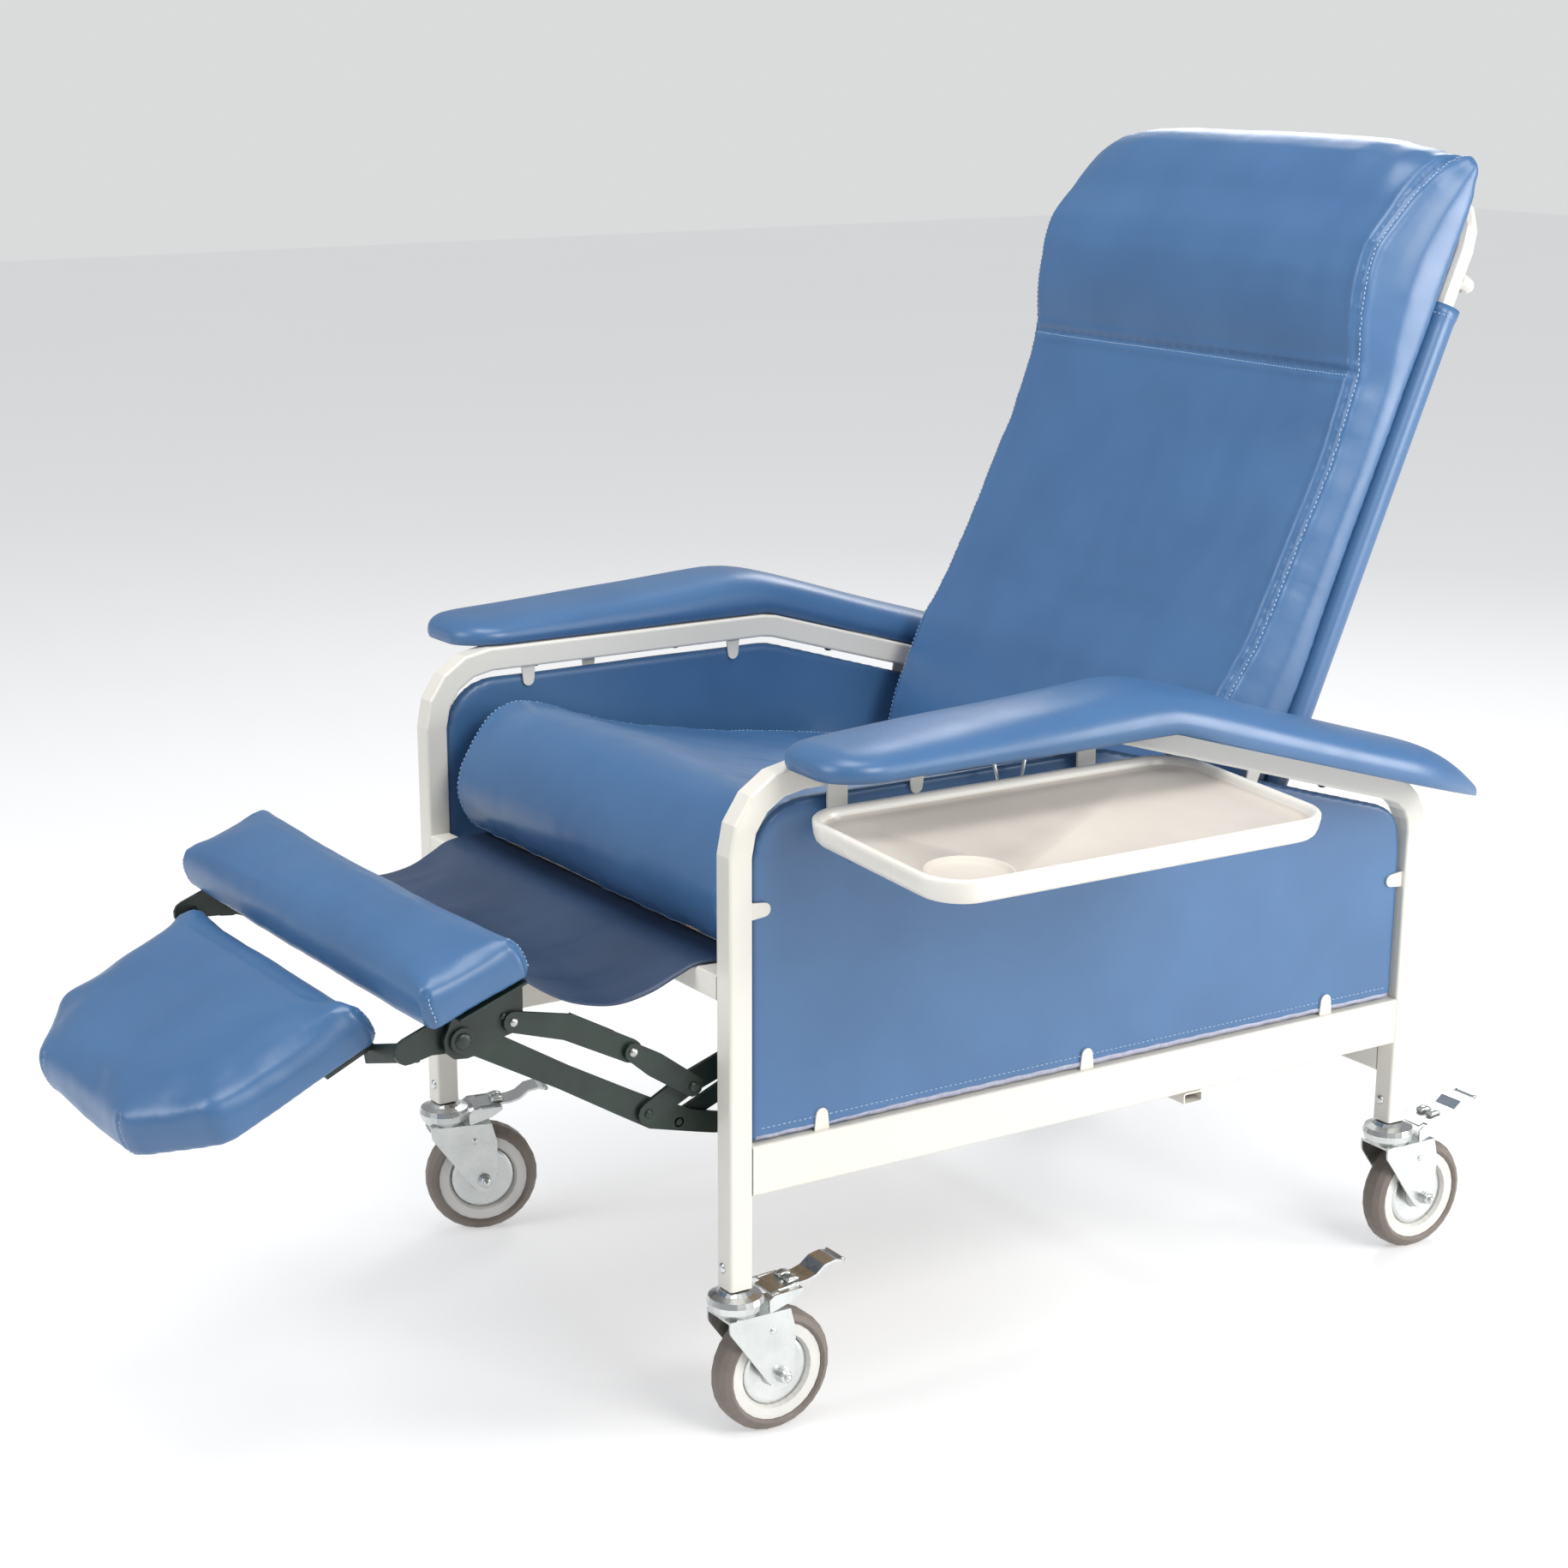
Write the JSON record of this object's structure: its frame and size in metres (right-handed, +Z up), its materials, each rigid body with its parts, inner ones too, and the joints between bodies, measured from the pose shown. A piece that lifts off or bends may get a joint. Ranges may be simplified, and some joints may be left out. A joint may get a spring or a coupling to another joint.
{
  "type": "patient recliner chair",
  "caption": "Wheeled patient recliner: white tube frame, blue vinyl seat, reclining back, folding leg rest with calf and foot pads, side tray and braked casters.",
  "frame": {"origin": "bottom centre of the bounding box: on the floor, level with the casters' lowest points, halfway from the foot pad's front to the back's rear and halfway from the right arm pad's outer edge to the tray's outer edge. The chair's middle plane is at x = -0.0805, since only the left side has a tray", "axes": "+Z up, -Y the way the sitter faces, +X to the sitter's left, the side with the tray"},
  "size_m": [1.015, 1.5082, 1.2101],
  "materials": {
    "white_paint": "gloss, off-white",
    "black_paint": "satin, near-black green",
    "zinc": "bright zinc plate",
    "blue_vinyl": "satin steel-blue vinyl upholstery",
    "tray_plastic": "off-white moulding",
    "tyre_rubber": "taupe grey, non-marking",
    "hub_plastic": "cream",
    "plywood": "bare plywood"
  },
  "bodies": {
    "frame": {"side_loop_left": "white_paint", "side_loop_right": "white_paint", "side_rail_left": "white_paint", "side_rail_right": "white_paint", "side_panel_left": "blue_vinyl", "side_panel_right": "blue_vinyl", "arm_pad_left": "blue_vinyl", "arm_pad_right": "blue_vinyl", "seat_side_plate_left": "black_paint", "seat_side_plate_right": "black_paint", "front_crossbar": "white_paint", "rear_crossbar": "white_paint", "under_crossbar": "white_paint", "seat_board": "plywood", "seat_cushion": "blue_vinyl", "tray_bracket": "white_paint"},
    "back": {"back_frame": "white_paint", "back_board": "plywood", "back_cover": "blue_vinyl", "back_cushion": "blue_vinyl"},
    "rear_link": {"rear_link_left": "black_paint", "rear_link_right": "black_paint", "torsion_tube": "black_paint"},
    "tail_link": {"tail_link_left": "black_paint", "tail_link_right": "black_paint"},
    "front_link": {"front_link_left": "black_paint", "front_link_right": "black_paint"},
    "riser_link": {"riser_link_left": "black_paint", "riser_link_right": "black_paint"},
    "upper_link": {"upper_link_left": "black_paint", "upper_link_right": "black_paint"},
    "calf_rest": {"calf_bracket_left": "black_paint", "calf_bracket_right": "black_paint", "calf_board": "plywood", "calf_pad": "blue_vinyl"},
    "foot_rest": {"foot_arm_left": "black_paint", "foot_arm_right": "black_paint", "foot_board": "plywood", "foot_pad": "blue_vinyl"},
    "apron": {"apron": "blue_vinyl"},
    "tray": {"tray": "tray_plastic", "tray_hinge_leaf": "zinc"},
    "caster_fl_fork": {"caster_fl_fork": "zinc"},
    "caster_fl_wheel": {"caster_fl_tyre": "tyre_rubber", "caster_fl_hub": "hub_plastic"},
    "caster_fl_pedal": {"caster_fl_pedal": "zinc"},
    "caster_fr_fork": {"caster_fr_fork": "zinc"},
    "caster_fr_wheel": {"caster_fr_tyre": "tyre_rubber", "caster_fr_hub": "hub_plastic"},
    "caster_fr_pedal": {"caster_fr_pedal": "zinc"},
    "caster_rl_fork": {"caster_rl_fork": "zinc"},
    "caster_rl_wheel": {"caster_rl_tyre": "tyre_rubber", "caster_rl_hub": "hub_plastic"},
    "caster_rl_pedal": {"caster_rl_pedal": "zinc"},
    "caster_rr_fork": {"caster_rr_fork": "zinc"},
    "caster_rr_wheel": {"caster_rr_tyre": "tyre_rubber", "caster_rr_hub": "hub_plastic"},
    "caster_rr_pedal": {"caster_rr_pedal": "zinc"}
  },
  "joints": [
    {"name": "back_recline", "type": "hinge", "parent": "frame", "child": "back", "pos_m": [-0.08048, 0.40418, 0.4161], "axis": [-1, 0, 0], "range_deg": [-13, 32]},
    {"name": "calf_rest_fold", "type": "hinge", "parent": "frame", "child": "rear_link", "pos_m": [-0.08048, -0.06782, 0.4206], "axis": [1, 0, 0], "range_deg": [0, 74.22]},
    {"name": "calf_rest_front_link", "type": "hinge", "parent": "rear_link", "child": "front_link", "pos_m": [-0.08048, -0.29182, 0.3366], "axis": [1, 0, 0], "range_deg": [-59.17, 0]},
    {"name": "calf_rest_knee", "type": "hinge", "parent": "front_link", "child": "calf_rest", "pos_m": [-0.08048, -0.48682, 0.4466], "axis": [1, 0, 0], "range_deg": [0, 57.95]},
    {"name": "calf_rest_foot_flip", "type": "hinge", "parent": "calf_rest", "child": "foot_rest", "pos_m": [-0.08048, -0.48682, 0.4466], "axis": [1, 0, 0], "range_deg": [0, 114.05]},
    {"name": "calf_rest_upper_link", "type": "hinge", "parent": "calf_rest", "child": "upper_link", "pos_m": [-0.08048, -0.43582, 0.4556], "axis": [1, 0, 0], "range_deg": [-59.23, 0]},
    {"name": "calf_rest_riser_link", "type": "hinge", "parent": "rear_link", "child": "riser_link", "pos_m": [-0.08048, -0.24782, 0.3586], "axis": [1, 0, 0], "range_deg": [-67.77, 0]},
    {"name": "calf_rest_tail_link", "type": "hinge", "parent": "frame", "child": "tail_link", "pos_m": [-0.08048, -0.03582, 0.4116], "axis": [1, 0, 0], "range_deg": [0, 74.01]},
    {"name": "calf_rest_apron", "type": "hinge", "parent": "frame", "child": "apron", "pos_m": [-0.08048, -0.23582, 0.4736], "axis": [1, 0, 0], "range_deg": [0, 72.05]},
    {"name": "arm_tray_fold", "type": "hinge", "parent": "frame", "child": "tray", "pos_m": [0.25952, 0.20818, 0.6036], "axis": [0, 1, 0], "range_deg": [0, 88]},
    {"name": "caster_fl_swivel", "type": "hinge", "parent": "frame", "child": "caster_fl_fork", "pos_m": [0.22932, -0.22112, 0.1496], "axis": [0, 0, 1], "continuous": true},
    {"name": "caster_fl_wheel_spin", "type": "hinge", "parent": "caster_fl_fork", "child": "caster_fl_wheel", "pos_m": [0.22981, -0.18112, 0.0631], "axis": [0.9999, -0.0122, 0], "continuous": true},
    {"name": "caster_fl_brake", "type": "hinge", "parent": "caster_fl_fork", "child": "caster_fl_pedal", "pos_m": [0.22956, -0.20112, 0.1381], "axis": [-0.9999, 0.0122, 0], "range_deg": [0, 12]},
    {"name": "caster_fr_swivel", "type": "hinge", "parent": "frame", "child": "caster_fr_fork", "pos_m": [-0.39028, -0.22112, 0.1496], "axis": [0, 0, 1], "continuous": true},
    {"name": "caster_fr_wheel_spin", "type": "hinge", "parent": "caster_fr_fork", "child": "caster_fr_wheel", "pos_m": [-0.37859, -0.18286, 0.0631], "axis": [0.9563, -0.2924, 0], "continuous": true},
    {"name": "caster_fr_brake", "type": "hinge", "parent": "caster_fr_fork", "child": "caster_fr_pedal", "pos_m": [-0.38444, -0.20199, 0.1381], "axis": [-0.9563, 0.2924, 0], "range_deg": [0, 12]},
    {"name": "caster_rl_swivel", "type": "hinge", "parent": "frame", "child": "caster_rl_fork", "pos_m": [0.22932, 0.63748, 0.1496], "axis": [0, 0, 1], "continuous": true},
    {"name": "caster_rl_wheel_spin", "type": "hinge", "parent": "caster_rl_fork", "child": "caster_rl_wheel", "pos_m": [0.23015, 0.67747, 0.0631], "axis": [0.9998, -0.0209, 0], "continuous": true},
    {"name": "caster_rl_brake", "type": "hinge", "parent": "caster_rl_fork", "child": "caster_rl_pedal", "pos_m": [0.22974, 0.65748, 0.1381], "axis": [-0.9998, 0.0209, 0], "range_deg": [0, 12]},
    {"name": "caster_rr_swivel", "type": "hinge", "parent": "frame", "child": "caster_rr_fork", "pos_m": [-0.39028, 0.63748, 0.1496], "axis": [0, 0, 1], "continuous": true},
    {"name": "caster_rr_wheel_spin", "type": "hinge", "parent": "caster_rr_fork", "child": "caster_rr_wheel", "pos_m": [-0.38944, 0.67747, 0.0631], "axis": [0.9998, -0.0209, 0], "continuous": true},
    {"name": "caster_rr_brake", "type": "hinge", "parent": "caster_rr_fork", "child": "caster_rr_pedal", "pos_m": [-0.38986, 0.65748, 0.1381], "axis": [-0.9998, 0.0209, 0], "range_deg": [0, 12]}
  ],
  "couplings": [
    {"joint": "calf_rest_front_link", "follows": "calf_rest_fold", "ratio": -0.79655},
    {"joint": "calf_rest_knee", "follows": "calf_rest_fold", "ratio": 0.78011},
    {"joint": "calf_rest_foot_flip", "follows": "calf_rest_fold", "ratio": 1.536},
    {"joint": "calf_rest_upper_link", "follows": "calf_rest_fold", "ratio": -0.79736},
    {"joint": "calf_rest_riser_link", "follows": "calf_rest_fold", "ratio": -0.91242},
    {"joint": "calf_rest_tail_link", "follows": "calf_rest_fold", "ratio": 0.9965},
    {"joint": "calf_rest_apron", "follows": "calf_rest_fold", "ratio": 0.97009}
  ]
}
